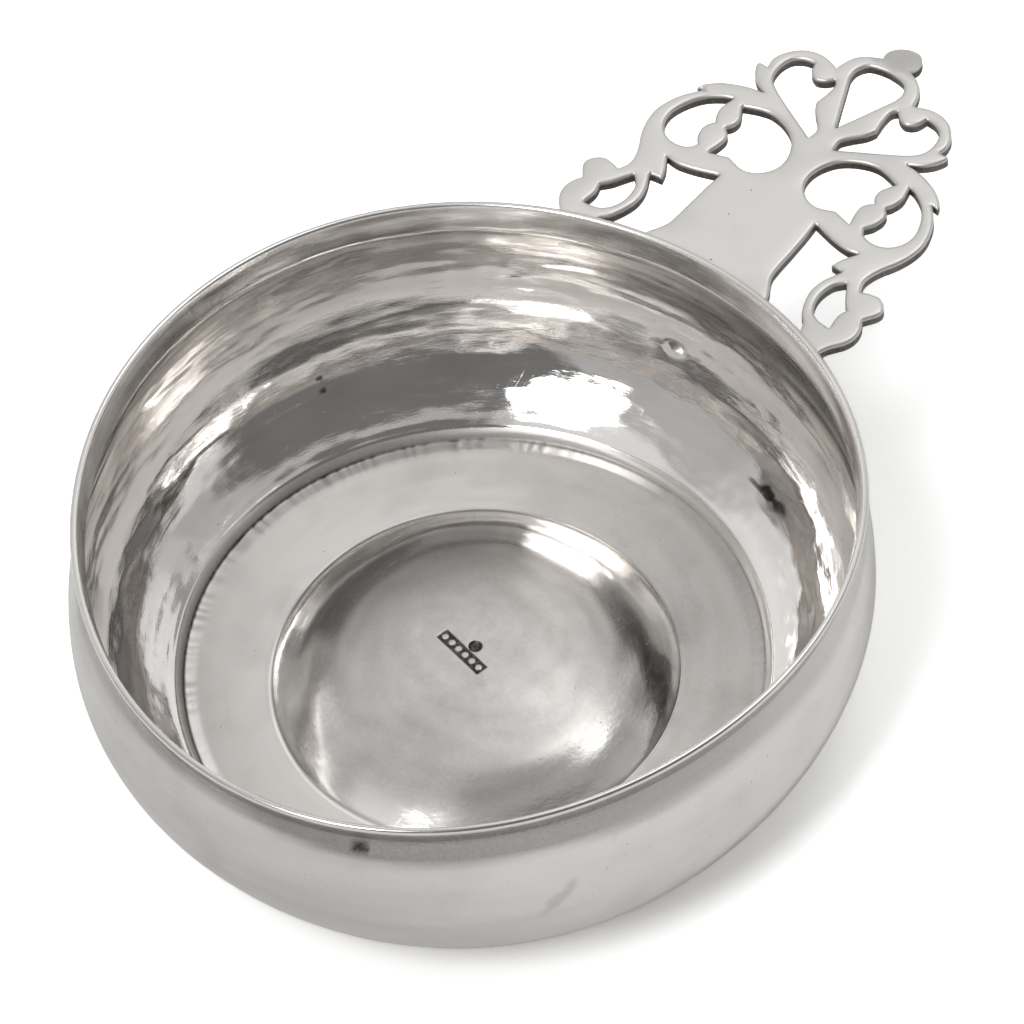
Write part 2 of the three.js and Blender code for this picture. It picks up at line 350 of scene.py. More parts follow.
def waves(angle, items):
    return sum(height * MM * np.cos(count * (angle - math.radians(crest))) for count, height, crest in items)


# Bowl
def dome_height(sizes, radius):
    """Height of the upper face over the dome, and of the flat ring beyond it."""
    share = np.minimum(radius / sizes.dome_radius, 1)
    return sizes.sheet + sizes.dome_rise * (1 - share**sizes.dome_fullness)


def inside_line(sizes):
    """Radius and height from the middle of the dome to the foot of the lip, close where it bends."""
    crease, edge, near, pitch = sizes.dome_radius, sizes.ring_edge, 2 * MM, 0.16 * MM
    radii = list(np.arange(pitch, STRUCK_RADIUS, pitch))
    for low, high, count in ((STRUCK_RADIUS, crease - near, 43), (crease - near, crease, 10),
                             (crease, crease + near, 10), (crease + near, edge - near, 15),
                             (edge - near, edge, 10)):
        radii += list(np.linspace(low, high, count + 1)[1:])
    line = [(radius, dome_height(sizes, radius)) for radius in radii]
    for share in np.linspace(0, 1, 9)[1:-1]:
        line.append((edge + sizes.step_width * share, sizes.sheet + sizes.step_height * share))
    foot_height = sizes.sheet + sizes.step_height
    belly, belly_height = sizes.belly_radius - sizes.sheet, sizes.belly_height
    spring = (belly - sizes.foot_radius) * sizes.spring_share
    pulls = np.array([(sizes.foot_radius, foot_height),
                      (sizes.foot_radius + spring, foot_height + spring * math.tan(sizes.spring_angle)),
                      (belly, belly_height - (belly_height - foot_height) * sizes.upright_share),
                      (belly, belly_height)])
    for t in np.linspace(0, 1, 92):
        line.append(np.array([(1 - t) ** 3, 3 * (1 - t) ** 2 * t, 3 * (1 - t) * t**2, t**3]) @ pulls)
    collar = sizes.rim_radius - sizes.lip - sizes.collar_flare
    for share in np.linspace(0, 1, 38)[1:]:
        line.append((belly - (belly - collar) * share**sizes.upper_fullness,
                     belly_height + (sizes.collar_foot - belly_height) * share))
    for share in np.linspace(0, 1, 12)[1:-1]:
        line.append((collar + sizes.collar_flare * share,
                     sizes.collar_foot + (sizes.collar_height - sizes.lip / 2) * share))
    return np.array(line)


def eased(line, passes=4, share=0.5):
    """Softens the corners of a line by averaging, and leaves the long curves as they are."""
    line = line.copy()
    for _ in range(passes):
        line[1:-1] += ((line[:-2] + line[2:]) / 2 - line[1:-1]) * share
    return line


def directions(line):
    along = np.gradient(line, axis=0)
    return along / np.linalg.norm(along, axis=1)[:, None]


def offset_line(line, distance):
    """The line one sheet thickness further out and down."""
    along = directions(line)
    return line + distance * np.stack([along[:, 1], -along[:, 0]], 1)


def collar_line(sizes, height):
    """Radius of the collar's outer face, were it round."""
    low = sizes.rim_radius - sizes.lip - sizes.collar_flare + sizes.sheet
    share = (height - sizes.collar_foot) / (sizes.collar_height - sizes.lip / 2)
    return low + (sizes.rim_radius - low) * share


def bowl_line(sizes):
    """The whole section, from the dome's upper face over the lip and back to the middle underneath, with
    the number of its points before the lip and before the lip's top."""
    inside = eased(inside_line(sizes))
    half, steps = sizes.lip / 2, 10
    over = np.linspace(0, math.pi, steps + 1)
    lip = np.stack([sizes.rim_radius - half - half * np.cos(over),
                    sizes.height - half + half * np.sin(over)], 1)
    heights = sizes.collar_foot + (sizes.collar_height - half) * np.linspace(1, 0, 8)[1:-1]
    collar = np.stack([collar_line(sizes, heights), heights], 1)
    outside = offset_line(inside[inside[:, 0] > STRUCK_RADIUS][::3], sizes.sheet)[::-1]
    outside = outside[outside[:, 1] < sizes.collar_foot - 0.3 * MM]
    centre = [(radius, dome_height(sizes, radius) - sizes.sheet) for radius in (5 * MM, 2.5 * MM)]
    line = np.concatenate([inside, lip, collar, outside, centre])
    return line, len(inside), len(inside) + len(lip) // 2


def out_of_round(sizes, angle, radius, height):
    """How much further out a point lies than on a true circle."""
    dome = np.clip(radius / sizes.dome_radius, 0, 1) ** 2
    step = np.clip((radius - sizes.dome_radius) / (sizes.foot_radius - sizes.dome_radius), 0, 1)
    low = waves(angle, CREASE_WAVES) * dome * (1 - step) + waves(angle, STEP_WAVES) * step
    belly = smoothstep(sizes.step_height, sizes.belly_height, height)
    rim = smoothstep(sizes.belly_height, sizes.height, height)
    wall = low * (1 - belly) + waves(angle, BELLY_WAVES) * belly
    wall = wall * (1 - rim) + waves(angle, RIM_WAVES) * rim
    return np.where(radius > sizes.ring_edge, wall, low)


def rim_crest(sizes, angle):
    """Radius of the lip's highest line."""
    rim = out_of_round(sizes, angle, np.full_like(angle, sizes.rim_radius), np.full_like(angle, sizes.height))
    return sizes.rim_radius - sizes.lip / 2 + rim


def struck_marks(sizes, x, y):
    """The compass pit and the row of plain pellets in a sunk bar beside it, as depth."""
    depth = sizes.punch_depth * (1 - smoothstep(0.55, 1.05, np.hypot(x, y) / sizes.punch_radius))
    middle, turn = np.array([-1.2, -2.2]) * MM, math.radians(-14)
    half_length, half_width, soft = 5.3 * MM, 1.05 * MM, 0.2 * MM
    along = (x - middle[0]) * math.cos(turn) + (y - middle[1]) * math.sin(turn)
    across = -(x - middle[0]) * math.sin(turn) + (y - middle[1]) * math.cos(turn)
    bar = smoothstep(half_length + soft, half_length, abs(along)) \
        * smoothstep(half_width + soft, half_width, abs(across))
    pellets = 6
    pitch = 2 * half_length / pellets
    nearest = (np.floor(along / pitch) + 0.5) * pitch
    pellet = smoothstep(0.75 * MM, 0.45 * MM, np.hypot(along - nearest, across))
    return depth + 0.16 * MM * bar * (1 - 0.8 * pellet)


def hammering(sizes, angle, radius, run):
    """Height of the surface over its true form, from the hammer's small marks to the raising courses."""
    random = np.random.default_rng(11)
    wall = smoothstep(sizes.foot_radius, sizes.foot_radius + 2 * MM, radius)
    low = (1 - wall) * smoothstep(0, 12 * MM, radius)
    over = 0
    for around, along, depth, low_share in HAMMER_MARKS:
        marks = unevenness(random, around, along, angle / (2 * math.pi), run)
        over = over + depth * MM * marks * (wall + low_share * low)
    pitch, depth = 5.6 * MM, 0.045 * MM
    wobble = 0.9 * np.sin(2 * angle + 0.6) + 0.5 * np.sin(5 * angle) + 0.25 * np.sin(11 * angle + 2)
    courses = smoothstep(19 * MM, 23 * MM, radius) \
        * smoothstep(sizes.dome_radius, sizes.dome_radius - 2 * MM, radius)
    courses *= 0.4 + 0.6 * smoothstep(-0.4, 0.6, facing(angle, 130))
    over = over + depth * courses * np.sin(2 * math.pi * radius / pitch + wobble)
    return over * sizes.hammering


def collar_facets(sizes, angle, height):
    """Flats that the hammer left round the collar when it was set upright."""
    random = np.random.default_rng(17)
    share = (height - sizes.collar_foot) / sizes.collar_height
    window = smoothstep(0, 0.15, share) * smoothstep(0.95, 0.7, share)
    return window * 0.035 * MM * unevenness(random, 96, 3, angle / (2 * math.pi), share)


def tool_lines(sizes, angle, radius):
    """Burrs that the chasing tools raised beside the crease and over the step, with uneven strength."""
    crease, foot, edge = sizes.dome_radius, sizes.foot_radius, sizes.ring_edge
    uneven = 0.6 + 0.4 * np.sin(3 * angle + 1.1) * np.sin(8 * angle)
    burrs = 0
    for middle, width, height in ((crease + 0.6 * MM, 0.35, 0.05), (crease, 0.25, -0.06),
                                  (foot + 0.1 * MM, 0.3, 0.07), (foot + 0.8 * MM, 0.3, -0.05)):
        burrs = burrs + ridge(radius, middle, width * MM, height * MM)
    on_step = smoothstep(edge - 0.2 * MM, edge + 0.2 * MM, radius) * smoothstep(foot + 0.4 * MM, foot, radius)
    pitch, depth = 1.2 * MM, 0.035 * MM
    grooves = np.sin(2 * math.pi * radius / pitch + 1.5 * np.sin(2 * angle) + 0.6 * np.sin(9 * angle))
    return burrs * uneven + depth * on_step * grooves


def chasing_marks(sizes, angle, radius):
    """Short strokes of the tool that set down the ring's outer edge, strongest on one side."""
    strokes, depth, edge = 132, 0.2 * MM, sizes.ring_edge
    place = angle * strokes / (2 * math.pi) + 0.9 * np.sin(angle * 7) + 0.35 * np.sin(angle * 31)
    window = smoothstep(edge - 3.2 * MM, edge - 0.9 * MM, radius) * smoothstep(edge + 0.2 * MM, edge, radius)
    strength = 0.15 + 0.85 * smoothstep(0.2, 0.95, facing(angle, 168))
    strength *= 0.6 + 0.4 * np.sin(13 * angle) * np.sin(29 * angle + 1)
    return -depth * window * strength * (0.5 + 0.5 * np.cos(2 * math.pi * place)) ** 2


def dent(angle, height):
    """A knock in the wall, with a small boss in its middle."""
    across, up = (angle - math.radians(95.1)) * 65.5 * MM, height - 16.9 * MM
    boss = 0.6 * MM * ridge(across, 0, 1.9 * MM) * ridge(up, 0, 1.4 * MM)
    trough = -0.42 * MM * ridge(across, 0, 4.5 * MM) * ridge(up, 0, 2.6 * MM)
    return boss + trough


def stains(spots, angle, height):
    """How dark each point is under the spots, from 0 to 1."""
    random = np.random.default_rng(23)
    uneven = unevenness(random, 420, 60, angle / (2 * math.pi), height / (50 * MM))
    wall_radius, dark = 60, 0
    for degrees, middle, half_length, half_height, lean, strength, ragged in spots:
        turn = (angle - math.radians(degrees) + math.pi) % (2 * math.pi) - math.pi
        up = height / MM - middle
        far = np.hypot((turn * wall_radius - lean * up) / half_length, up / half_height)
        soft = 0.5 - 0.4 * ragged
        dark = np.maximum(dark, strength * smoothstep(1 + soft, 1 - soft, far + ragged * uneven))
    return dark


def mattness(sizes, radius, height, is_inside):
    """0 where the wall is polished, 1 on the satin ring. The dome is bright at its edge only."""
    crease, edge = sizes.dome_radius, sizes.ring_edge
    dome = 0.04 + 0.36 * smoothstep(crease - 7 * MM, crease - 14 * MM, radius)
    ring = smoothstep(crease + 0.1 * MM, crease + 0.9 * MM, radius) \
        * smoothstep(edge + 0.2 * MM, edge - 0.4 * MM, radius)
    ring *= 1 - 0.5 * smoothstep(edge - 3 * MM, edge - 1.5 * MM, radius)
    step, outside = 0.45, 0.19
    collar = 0.12 * smoothstep(0, 0.6 * MM, height - sizes.collar_foot)
    low = np.maximum(np.where(radius < crease, dome, step), ring)
    return np.where(is_inside, np.where(radius < sizes.foot_radius, low, collar), outside)


def tarnish_and_painted_shade(sizes, angle, radius, height, run, is_inside):
    """How much film stays in the corners and under the lip, and how much painted shade goes with it: the ring
    darker on its right, the dome darker in its middle, dark lines in the crease, the step and the ring's
    strokes, and a dark band round the outside under the lip with the belly below it darker on one side.
    """
    random = np.random.default_rng(31)
    patchy, wavy, streaks = [unevenness(random, around, along, angle / (2 * math.pi), run)
                             for around, along in ((40, 90), (26, 3), (15, 64))]
    crease, edge, foot = sizes.dome_radius, sizes.ring_edge, sizes.collar_foot
    under_lip = smoothstep(sizes.height - 0.5 * sizes.lip, sizes.height - 1.3 * sizes.lip, height)
    to_left, to_right = 0.5 + 0.5 * facing(angle, 200), 0.5 + 0.5 * facing(angle, 50)

    on_ring = (radius > crease) * (radius < edge)
    on_dome = smoothstep(crease, crease - 8 * MM, radius)
    # Painted shade: the ring darker towards its right side and the dome darker towards its middle
    inside = np.where(on_ring, 0.4 * to_right**3 + 0.02 * patchy, 0.06 + 0.02 * patchy + 0.34 * on_dome)
    # Tarnish and painted shade: dark lines in the crease round the dome and at the step, those at the step
    # heavier on the left
    inside += 0.45 * ridge(radius, crease - 0.2 * MM, 0.4 * MM)
    inside += 0.45 * to_left * ridge(radius, edge + 0.5 * MM, 0.6 * MM) * (height < 6 * MM)
    inside += (0.2 + 0.5 * to_left) * ridge(radius, edge, 0.3 * MM)
    # Painted shade in the hollows of the strokes that set down the ring's outer edge
    inside += on_ring * -1.8 / MM * chasing_marks(sizes, angle, radius)
    on_collar = under_lip * smoothstep(foot - 0.3 * MM, foot + 0.5 * MM, height)
    inside += (0.42 * to_left**3 + 0.4 * to_right**4 + 0.12 * patchy + 0.12 * wavy - 0.06) * on_collar
    upper_wall = smoothstep(20 * MM, 33 * MM, height) * smoothstep(foot, foot - 1 * MM, height)
    inside += (0.65 * to_right**3 + 0.25 * to_left**3) * (1 + 0.55 * streaks) * upper_wall

    # Painted shade on the outside: a dark band under the lip, darkest towards -75 degrees, and the belly
    # below it darker towards -125 degrees
    band = smoothstep(36.5 * MM, 38.5 * MM, height + 0.7 * MM * wavy)
    outside = (0.2 + 0.4 * np.clip(facing(angle, -75), 0, 1)) * band * under_lip
    outside += 0.24 * np.clip(facing(angle, -125), 0, 1) * (1 - band) + 0.02 * patchy
    return np.clip(np.where(is_inside, inside, outside), 0, 1)


def bowl_piece(sizes):
    """The bowl: its section carried round and hammered, with the values that its material reads."""
    line, inside_count, lip_top = bowl_line(sizes)
    count = sizes.segments
    run = np.cumsum(np.linalg.norm(np.diff(line, axis=0, prepend=line[:1]), axis=1))
    run_length = run[lip_top]
    angle, radius = np.meshgrid(np.arange(count) * 2 * math.pi / count, line[:, 0])
    height = np.repeat(line[:, 1:2], count, axis=1)
    run = np.repeat(run[:, None] / run_length, count, axis=1)
    along = directions(line)
    row = np.arange(len(line))[:, None]
    is_inside = row < inside_count

    from_middle = np.where(is_inside, run, 2 - run)
    over = hammering(sizes, angle, radius, from_middle) * np.where(is_inside, 1, 0.3)
    over += is_inside * (chasing_marks(sizes, angle, radius) + tool_lines(sizes, angle, radius)
                         + dent(angle, height) * (radius > sizes.foot_radius))
    over *= 1 - 0.8 * smoothstep(sizes.collar_foot, sizes.height - 1.5 * sizes.lip, height)
    over += is_inside * collar_facets(sizes, angle, height)
    shift = np.clip(radius / sizes.foot_radius, 0, 1) \
        * smoothstep(sizes.belly_height, sizes.step_height, height)
    reach = radius + out_of_round(sizes, angle, radius, height) - along[:, 1:2] * over
    x = reach * np.cos(angle) + STEP_SHIFT[0] * shift
    y = reach * np.sin(angle) + STEP_SHIFT[1] * shift
    z = np.maximum(height + along[:, 0:1] * over - is_inside * struck_marks(sizes, x, y), 0)
    poles = [(0, 0, dome_height(sizes, 0) - sizes.punch_depth), (0, 0, sizes.dome_rise)]
    vertices = np.concatenate([np.stack([x, y, z], 2).reshape(-1, 3), poles]) + BOWL_CENTRE
    first, last, end = len(vertices) - 2, len(vertices) - 1, (len(line) - 1) * count
    faces = [face[::-1] for face in ring_faces(len(line), count)]
    for k in range(count):
        following = (k + 1) % count
        faces += [(k, following, first), (end + following, end + k, last)]
    piece = new_mesh("raised_bowl", vertices, faces)

    on_wall = radius > sizes.foot_radius
    # The compass pit and the sunk bar are filled dark by their depth: dirt and painted shade
    pit = smoothstep(0.04 * MM, 0.12 * MM, struck_marks(sizes, x, y))
    spots = np.where(is_inside, np.maximum(pit, stains(INSIDE_STAINS, angle, height) * on_wall),
                     stains(OUTSIDE_STAINS, angle, height))
    # Tarnish, with painted shade on one side and in the corners and marks
    film = tarnish_and_painted_shade(sizes, angle, radius, height, np.minimum(run, 2 - run), is_inside)
    streaked = smoothstep(0, 3 * MM, radius - sizes.foot_radius) * np.where(is_inside, 1, 0.2)
    streaked += is_inside * 0.5 * smoothstep(22 * MM, 27 * MM, radius) * (radius < sizes.dome_radius)
    is_outer = np.broadcast_to(row >= lip_top, radius.shape)
    for name, values, at_poles in (("matt", mattness(sizes, radius, height, is_inside), (0.48, 0.3)),
                                   ("tone", is_outer, (0, 1)), ("grime_and_shade", np.maximum(film, spots), (1, 0)),
                                   ("streaked", streaked, (0, 0))):
        add_attribute(piece, name, np.append(values.ravel(), at_poles))
    worked = np.stack([np.cos(angle), np.sin(angle), run * run_length / STREAK_RADIUS], 2) * STREAK_RADIUS
    worked = np.concatenate([worked.reshape(-1, 3), np.zeros((2, 3))])
    add_attribute(piece, "worked", worked, "FLOAT_VECTOR", "vector")
    return piece


# Handle
def seat(points, handle, bowl):
    """From the drawing to the bowl's frame, with the casting's small lean and twist."""
    across, out = (np.asarray(points) * MM).T
    drift = handle.lean * np.clip(out, 0, None)
    reach = handle.twist * across / (28 * MM)
    return np.stack([across + drift + handle.side_shift, out + reach + bowl.rim_radius], 1)


def outside_rim(points, bowl):
    angle = np.arctan2(points[:, 1], points[:, 0])
    return np.hypot(points[:, 0], points[:, 1]) > rim_crest(bowl, angle)


def rim_crossing(inner, outer, bowl):
    """The point between the two that lies on the lip's highest line."""
    for _ in range(30):
        middle = (inner + outer) / 2
        if outside_rim(middle[None], bowl)[0]:
            outer = middle
        else:
            inner = middle
    return outer


def cut_at_rim(points, bowl):
    """The part of a line that lies outside the rim, with its ends on the rim."""
    out = np.nonzero(outside_rim(points, bowl))[0]
    first, last = out[0], out[-1]
    kept = list(points[first:last + 1])
    if first > 0:
        kept.insert(0, rim_crossing(points[first - 1], points[first], bowl))
    if last < len(points) - 1:
        kept.append(rim_crossing(points[last + 1], points[last], bowl))
    return np.array(kept)


def rim_arc(start, end, bowl):
    """Points along the lip between two points on it, without the ends."""
    a, b = math.atan2(start[1], start[0]), math.atan2(end[1], end[0])
    count = max(2, int(abs(b - a) * bowl.rim_radius / (0.7 * MM)))
    angle = np.linspace(a, b, count + 1)[1:-1]
    crest = rim_crest(bowl, angle)
    return np.stack([crest * np.cos(angle), crest * np.sin(angle)], 1)


def tidy_loop(points, least=0.12 * MM):
    """Drops points that lie closer together than the saw could show."""
    kept = [points[0]]
    for point in points[1:]:
        if np.linalg.norm(point - kept[-1]) > least:
            kept.append(point)
    if np.linalg.norm(kept[0] - kept[-1]) < least:
        kept.pop()
    return np.array(kept)


def handle_loops(handle, bowl):
    """The outer edge, every pierced hole and the ends of the three roots, in the bowl's frame."""
    right = follow(OUTER_EDGE)
    angle = handle.disc_neck + (math.pi - 2 * handle.disc_neck) * np.linspace(0, 1, 33)[1:-1]
    disc = np.stack([handle.disc_radius * np.cos(angle),
                     handle.disc_out + handle.disc_radius * np.sin(angle)], 1)
    whole = np.concatenate([right, disc / MM, mirrored(right)[::-1]])
    edge = cut_at_rim(seat(whole, handle, bowl), bowl)
    gap = follow(ROOT_GAP)
    right_gap = cut_at_rim(seat(gap, handle, bowl), bowl)[::-1]
    left_gap = cut_at_rim(seat(mirrored(gap), handle, bowl), bowl)
    outer = np.concatenate([
        edge, rim_arc(edge[-1], left_gap[0], bowl),
        left_gap, rim_arc(left_gap[-1], right_gap[0], bowl),
        right_gap, rim_arc(right_gap[-1], edge[0], bowl),
    ])
    roots = [(edge[0], right_gap[-1]), (right_gap[0], left_gap[-1]), (left_gap[0], edge[-1])]
    holes = []
    for shape in (HEART_LOBE, BIG_EYE, CRESCENT, SCROLL_EYE):
        line = follow(shape)
        holes += [line, mirrored(line)]
    drop = follow(TEARDROP)
    holes.append(np.concatenate([drop, mirrored(drop)[-2:0:-1]]))
    return tidy_loop(outer), [tidy_loop(seat(hole, handle, bowl)) for hole in holes], roots


def turned(loop, anticlockwise):
    x, y = loop[:, 0], loop[:, 1]
    area = np.sum(x * np.roll(y, -1) - y * np.roll(x, -1)) / 2
    return loop if (area > 0) == anticlockwise else loop[::-1]


def inset(loop, distance):
    """The loop moved to its left, which is into the metal on an outer edge that runs anticlockwise."""
    along = np.roll(loop, -1, axis=0) - np.roll(loop, 1, axis=0)
    along /= np.maximum(np.linalg.norm(along, axis=1), 1e-9)[:, None]
    return loop + distance * np.stack([-along[:, 1], along[:, 0]], 1)


def within(loop, points):
    """Which points lie inside a closed loop."""
    x, y = points[:, 0], points[:, 1]
    inside = np.zeros(len(points), bool)
    for (x0, y0), (x1, y1) in zip(loop, np.roll(loop, -1, axis=0)):
        crosses = (y0 > y) != (y1 > y)
        with np.errstate(divide="ignore", invalid="ignore"):
            meets = x < (x1 - x0) * (y - y0) / (y1 - y0) + x0
        inside ^= crosses & meets
    return inside


def in_metal(loops, points):
    """Which points lie inside the first loop and in none of the holes."""
    kept = within(loops[0], points)
    for hole in loops[1:]:
        kept &= ~within(hole, points)
    return kept


def edge_distance(loops, points):
    """How far each point lies from the nearest edge."""
    nearest = np.full(len(points), np.inf)
    for loop in loops:
        for start, end in zip(loop, np.roll(loop, -1, axis=0)):
            span = end - start
            share = np.clip((points - start) @ span / (span @ span), 0, 1)
            nearest = np.minimum(nearest, np.hypot(*(points - start - share[:, None] * span).T))
    return nearest


def flat_face(loops, offsets, spacing):
    """Triangles that fill the first loop without the others, with rows of points along every edge for
    its rounding and a loose grid between them. Gives points, triangles and distances from the edge."""
    rows = [inset(loop, offset) for loop in loops for offset in offsets]
    meant = np.concatenate([np.full(len(loop), offset) for loop in loops for offset in offsets])
    rows = np.concatenate(rows)
    kept = in_metal(loops, rows) & (edge_distance(loops, rows) > 0.9 * meant)
    low, high = loops[0].min(0), loops[0].max(0)
    grid = np.stack(np.meshgrid(np.arange(low[0], high[0], spacing), np.arange(low[1], high[1], spacing)), 2)
    grid = grid.reshape(-1, 2)
    open_ground = in_metal(loops, grid) & (edge_distance(loops, grid) > offsets[-1] + 0.4 * spacing)
    points = np.concatenate([*loops, rows[kept], grid[open_ground]])
    edges, start = [], 0
    for loop in loops:
        count = len(loop)
        edges += [(start + k, start + (k + 1) % count) for k in range(count)]
        start += count
    made = delaunay_2d_cdt([Vector(p / MM) for p in points], edges, [], 1, 1e-7)
    vertices = np.array([tuple(v) for v in made[0]]) * MM
    triangles = np.array([tuple(face) for face in made[2]])
    triangles = triangles[in_metal(loops, vertices[triangles].mean(1))]
    return vertices, triangles, edge_distance(loops, vertices)


def rounded(distance, width, drop):
    """How far a surface has come down at a distance from its edge: a quarter of an oval."""
    share = 1 - np.clip(distance / width, 0, 1)
    return drop * (1 - np.sqrt(1 - share**2))


def handle_mesh(handle, bowl):
    """The casting as it lies flat: both faces with their rounded edges, and the walls between them."""
    outer, holes, _ = handle_loops(handle, bowl)
    loops = [turned(outer, True)] + [turned(hole, False) for hole in holes]
    top, low = bowl.height, bowl.height - handle.thickness
    random = np.random.default_rng(5)
    vertices, faces, start = [], [], 0
    for turned_over, width, drop in ((False, handle.edge_width, handle.edge_drop),
                                     (True, handle.under_edge, handle.under_edge)):
        points, triangles, distance = flat_face(loops, [width * share for share in EDGE_ROWS], 1.6 * MM)
        across = np.clip((points[:, 0] - handle.side_shift) / (60 * MM) + 0.5, 0, 1)
        out = np.clip((points[:, 1] - bowl.rim_radius + 10 * MM) / (75 * MM), 0, 1)
        sag = 0.01 * MM * np.abs(unevenness(random, 14, 15, across, out))
        crown = 0.05 * MM * np.exp(-distance / (1.3 * MM))
        down = rounded(distance, width, drop) + (sag + crown) * (distance > 1e-3 * MM)
        heights = low + down if turned_over else top - down
        vertices += [(x, y, z) for (x, y), z in zip(points, heights)]
        for triangle in triangles:
            corners = tuple(int(index) + start for index in triangle)
            faces.append(corners[::-1] if turned_over else corners)
        start += len(points)
    levels = np.linspace(top - handle.edge_drop, low + handle.under_edge, 5)
    for loop in loops:
        vertices += [(x, y, height) for height in levels for x, y in loop]
        faces += [face[::-1] for face in ring_faces(len(levels), len(loop), start)]
        start += len(loop) * len(levels)
    piece = new_mesh("cast_handle", np.array(vertices) + BOWL_CENTRE, faces, smooth=False)
    merge_points(piece)
    piece.data.shade_smooth()
    return piece


def handle_piece(handle, bowl):
    """The casting, with tarnish and painted shade on its side walls, bent up a little along its length and
    down at the disc.
    """
    piece = handle_mesh(handle, bowl)
    places = np.array([tuple(v.co) for v in piece.data.vertices])
    disc = seat([(0, handle.disc_out / MM)], handle, bowl)[0] + BOWL_CENTRE[:2]
    from_disc = np.hypot(*(places[:, :2] - disc).T)
    on_disc = smoothstep(handle.disc_radius + 0.6 * MM, handle.disc_radius - 0.3 * MM, from_disc)
    lowered = bowl.height - places[:, 2]
    matt = 0.5 + 0.1 * np.maximum(on_disc, smoothstep(0.05 * MM, 0.4 * MM, lowered))
    # Tarnish and painted shade on the hole walls, the edges below the top and the underside; a little tarnish
    # on the tip disc
    add_attribute(piece, "grime_and_shade", 0.85 * smoothstep(0.3 * MM, 0.9 * MM, lowered) + 0.1 * on_disc)
    add_attribute(piece, "matt", matt)
    add_attribute(piece, "tone", on_disc)
    beyond = np.clip(places[:, 1] - disc[1] + handle.disc_radius, 0, None)
    out = np.clip(places[:, 1] - BOWL_CENTRE[1] - bowl.rim_radius, 0, None)
    places[:, 2] += handle.rise * out - handle.disc_dip * beyond * on_disc
    piece.data.vertices.foreach_set("co", places.ravel())
    piece.data.update()
    return piece


# Solder
def solder_piece(name, ends, handle, bowl):
    """A hollow fillet that runs down one side of a root, under it and up the other side."""
    left, right = sorted((math.atan2(y, x) for x, y in ends), reverse=True)
    low, high = bowl.height - handle.thickness, bowl.height - 0.75 * bowl.lip
    leg, sunk, steps, curve = handle.fillet, 0.18 * MM, 12, 6
    # Places along the root: direction, height, the way that the fillet's foot points and its size
    path = [(left, high, 180, 0.25), (left, (low + high) / 2, 180, 0.55), (left, low, 180, 0.7)]
    path += [(left, low, lean, 0.85) for lean in (210, 240)]
    for share in np.linspace(0, 1, steps + 1):
        path.append((left + (right - left) * share, low, 270, 1 - 0.12 * math.sin(9 * share) ** 2))
    path += [(right, low, lean, 0.85) for lean in (300, 330)]
    path += [(right, low, 360, 0.7), (right, (low + high) / 2, 360, 0.55), (right, high, 360, 0.25)]
    vertices = []
    for angle, height, lean, scale in path:
        section = [(leg * scale * (1 - t) ** 2 - sunk * (t == 1), leg * scale * t**2 - sunk * (t == 0))
                   for t in np.linspace(0, 1, curve + 1)]
        for along, out in (*section, (-sunk, -sunk)):
            turn = angle - along * math.cos(math.radians(lean)) / bowl.rim_radius
            z = height + along * math.sin(math.radians(lean))
            radius = collar_line(bowl, z)
            radius += float(out_of_round(bowl, np.array(turn), np.array(radius), np.array(z))) + out
            vertices.append((radius * math.cos(turn), radius * math.sin(turn), z))
    row = curve + 2
    faces = ring_faces(len(path), row)
    faces += [tuple(range(row))[::-1], tuple(range(len(vertices) - row, len(vertices)))]
    piece = new_mesh(name, np.array(vertices) + BOWL_CENTRE, faces)
    merge_points(piece)
    return piece


# Materials
def linear(colour):
    """Three sRGB values from 0 to 1 as the linear ones that a shader takes."""
    return [c / 12.92 if c <= 0.04045 else ((c + 0.055) / 1.055) ** 2.4 for c in colour] + [1]


def new_material(name):
    material = bpy.data.materials.new(name)
    material.use_nodes = True
    material.node_tree.nodes.clear()
    return material


def node(tree, kind, settings=None, **links):
    """Adds one node. A link is a node, a socket or a value for the input of that name, with _ for a
    space, or of that number after an i. A node stands for its first output."""
    added = tree.nodes.new("ShaderNode" + kind)
    for key, value in (settings or {}).items():
        setattr(added, key, value)
    for key, value in links.items():
        socket = added.inputs[int(key[1:]) if key[1:].isdigit() else key.replace("_", " ")]
        if isinstance(value, Node):
            value = value.outputs[0]
        if isinstance(value, NodeSocket):
            tree.links.new(value, socket)
        else:
            socket.default_value = value
    return added


def hairlines(tree, place, turn, size, width, seed):
    """Fine scratches: thin level lines of a stretched noise, about size long, broken up at random."""
    mapped = node(tree, "Mapping", Vector=place, Rotation=(0.3 * turn, 0.2, turn), Scale=(1, 0.05, 0.1),
                  Location=(seed, seed * 0.7, 0))
    stretched = node(tree, "TexNoise", Vector=mapped, Scale=1 / size, Detail=1.0)
    centred = node(tree, "Math", {"operation": "SUBTRACT"}, i0=stretched, i1=0.5)
    from_level = node(tree, "Math", {"operation": "ABSOLUTE"}, i0=centred)
    line = node(tree, "MapRange", {"interpolation_type": "SMOOTHSTEP"}, Value=from_level,
                From_Min=0, From_Max=width, To_Min=1, To_Max=0)
    patch = node(tree, "TexNoise", Vector=place, Scale=0.6 / size, Detail=2.0)
    broken = node(tree, "MapRange", Value=patch, From_Min=0.54, From_Max=0.64)
    return node(tree, "Math", {"operation": "MULTIPLY"}, i0=line, i1=broken)


